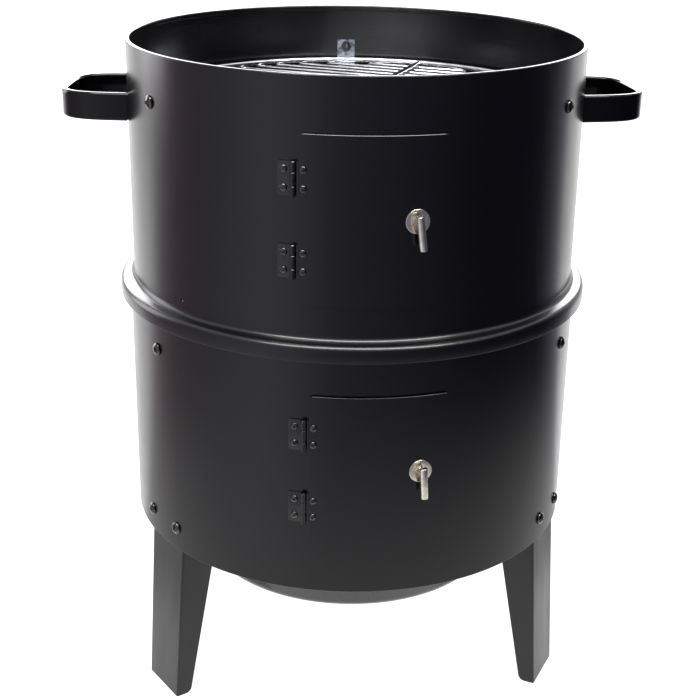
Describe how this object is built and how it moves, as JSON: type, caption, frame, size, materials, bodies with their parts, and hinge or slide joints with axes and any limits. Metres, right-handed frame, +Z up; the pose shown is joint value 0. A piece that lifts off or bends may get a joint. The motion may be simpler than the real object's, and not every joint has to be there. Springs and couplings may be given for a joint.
{
  "type": "vertical water smoker",
  "caption": "Vertical charcoal water smoker: stacked black steel barrels on splayed channel legs, with latched side doors, loop handles, lift-out wire grates, a water pan and a charcoal bowl.",
  "frame": {"origin": "on the floor under the barrel axis, at the middle of the footprint", "axes": "+Z up along the barrel axis, -Y towards the doors, +X to the right of someone facing the doors"},
  "size_m": [0.5543, 0.4581, 0.634],
  "materials": {
    "barrel_coat": "semi-gloss black powder coat",
    "leg_coat": "satin black powder coat",
    "handle_plastic": "high gloss black moulding",
    "black_hardware": "black plated screws and hinges",
    "latch_steel": "bright, lightly scratched stainless steel",
    "zinc_plate": "galvanised sheet",
    "chrome_wire": "bright chromed wire",
    "enamel": "gloss black enamel",
    "grate_iron": "black coated steel wire"
  },
  "bodies": {
    "lower_section": {"lower_barrel": "barrel_coat", "leg_left": "leg_coat", "leg_right": "leg_coat", "leg_rear": "leg_coat", "leg_bolts": "black_hardware", "leg_nuts": "black_hardware", "mid_bracket_left": "zinc_plate", "mid_bracket_right": "zinc_plate", "mid_bracket_rear": "zinc_plate", "mid_bracket_bolts": "black_hardware", "mid_bracket_nuts": "black_hardware", "lower_hinge_frame_leaves": "black_hardware", "lower_hinge_pins": "black_hardware", "lower_hinge_frame_screws": "black_hardware"},
    "upper_section": {"upper_barrel": "barrel_coat", "joint_collar": "barrel_coat", "handle_left": "handle_plastic", "handle_right": "handle_plastic", "handle_screws": "black_hardware", "top_bracket_left": "zinc_plate", "top_bracket_right": "zinc_plate", "top_bracket_rear": "zinc_plate", "top_bracket_bolts": "black_hardware", "top_bracket_nuts": "black_hardware", "upper_hinge_frame_leaves": "black_hardware", "upper_hinge_pins": "black_hardware", "upper_hinge_frame_screws": "black_hardware"},
    "upper_door": {"upper_door": "barrel_coat", "upper_hinge_door_leaves": "black_hardware", "upper_hinge_door_screws": "black_hardware", "upper_latch_washer": "latch_steel"},
    "upper_latch": {"upper_latch_lever": "latch_steel", "upper_latch_tongue": "zinc_plate", "upper_latch_nut": "zinc_plate"},
    "lower_door": {"lower_door": "barrel_coat", "lower_hinge_door_leaves": "black_hardware", "lower_hinge_door_screws": "black_hardware", "lower_latch_washer": "latch_steel"},
    "lower_latch": {"lower_latch_lever": "latch_steel", "lower_latch_tongue": "zinc_plate", "lower_latch_nut": "zinc_plate"},
    "upper_grate": {"upper_grate": "chrome_wire"},
    "water_pan": {"water_pan": "enamel"},
    "lower_grate": {"lower_grate": "chrome_wire"},
    "charcoal_bowl": {"charcoal_bowl": "enamel"},
    "charcoal_grate": {"charcoal_grate": "grate_iron"}
  },
  "joints": [
    {"name": "upper_section_lift", "type": "slide", "parent": "lower_section", "child": "upper_section", "axis": [0, 0, 1], "range_m": [0, 0.08]},
    {"name": "upper_door_hinge", "type": "hinge", "parent": "upper_section", "child": "upper_door", "pos_m": [-0.06983, -0.2063, 0.513], "axis": [0, 0, -1], "range_deg": [0, 150]},
    {"name": "upper_latch_turn", "type": "hinge", "parent": "upper_door", "child": "upper_latch", "pos_m": [0.0332, -0.21444, 0.5145], "axis": [0.153, -0.9882, 0], "range_deg": [-7.5, 82.5]},
    {"name": "lower_door_hinge", "type": "hinge", "parent": "lower_section", "child": "lower_door", "pos_m": [-0.06026, -0.21294, 0.2847], "axis": [0, 0, -1], "range_deg": [0, 150]},
    {"name": "lower_latch_turn", "type": "hinge", "parent": "lower_door", "child": "lower_latch", "pos_m": [0.04306, -0.21626, 0.2862], "axis": [0.1953, -0.9807, 0], "range_deg": [-4, 86]},
    {"name": "upper_grate_lift", "type": "slide", "parent": "upper_section", "child": "upper_grate", "axis": [0, 0, 1], "range_m": [0, 0.08]},
    {"name": "water_pan_lift", "type": "slide", "parent": "lower_section", "child": "water_pan", "axis": [0, 0, 1], "range_m": [0, 0.06]},
    {"name": "lower_grate_lift", "type": "slide", "parent": "water_pan", "child": "lower_grate", "axis": [0, 0, 1], "range_m": [0, 0.03]},
    {"name": "charcoal_bowl_lift", "type": "slide", "parent": "lower_section", "child": "charcoal_bowl", "axis": [0, 0, 1], "range_m": [0, 0.05]},
    {"name": "charcoal_grate_lift", "type": "slide", "parent": "charcoal_bowl", "child": "charcoal_grate", "axis": [0, 0, 1], "range_m": [0, 0.05]}
  ]
}
